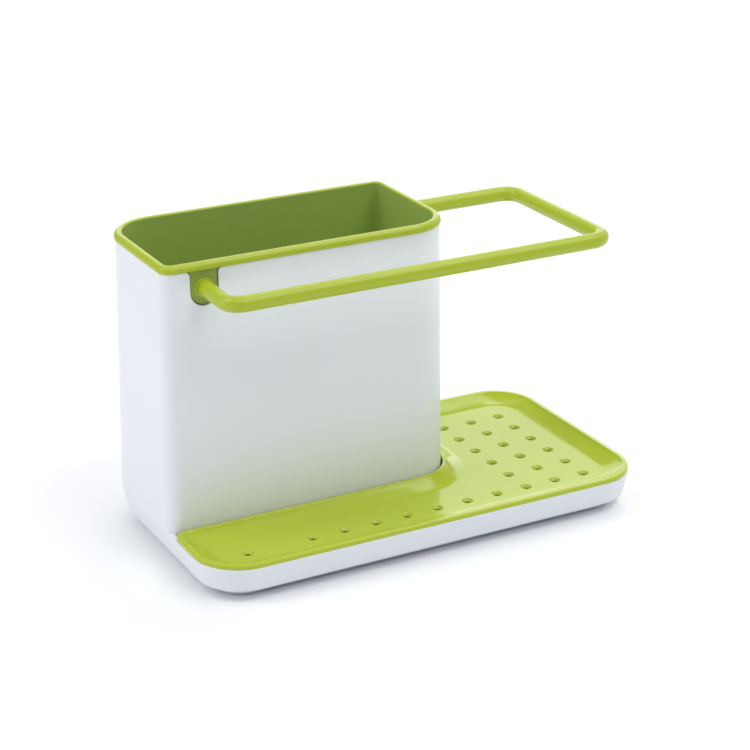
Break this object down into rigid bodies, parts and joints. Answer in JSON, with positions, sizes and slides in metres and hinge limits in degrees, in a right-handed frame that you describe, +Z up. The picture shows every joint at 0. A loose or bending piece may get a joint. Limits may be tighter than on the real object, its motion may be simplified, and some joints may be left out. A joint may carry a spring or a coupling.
{
  "type": "kitchen sink caddy",
  "caption": "Low drip tray with a tall lift-out pot for brushes, a bent rail for a dish cloth and a lift-out perforated drip tray, on soft feet.",
  "frame": {"origin": "on the worktop, under the middle of the base's rectangle, which is also the middle of the whole part seen from above", "axes": "+X along the long side from the pot towards the open end of the rail, +Y from the front strip towards the back, +Z up"},
  "size_m": [0.2049, 0.1119, 0.1293],
  "materials": {
    "white_moulding": "satin injection-moulded polypropylene",
    "green_moulding": "satin injection-moulded plastic, apple green",
    "foot_rubber": "soft, slightly translucent"
  },
  "bodies": {
    "base": {"caddy_body": "white_moulding", "foot_front_left": "foot_rubber", "foot_front_right": "foot_rubber", "foot_back_left": "foot_rubber", "foot_back_right": "foot_rubber"},
    "pot": {"brush_pot": "green_moulding", "cloth_rail": "green_moulding"},
    "tray": {"drip_tray": "green_moulding"}
  },
  "joints": [
    {"name": "pot_lift", "type": "slide", "parent": "base", "child": "pot", "axis": [0, 0, 1], "range_m": [0, 0.12]},
    {"name": "tray_lift", "type": "slide", "parent": "base", "child": "tray", "axis": [0, 0, 1], "range_m": [0, 0.06]}
  ]
}
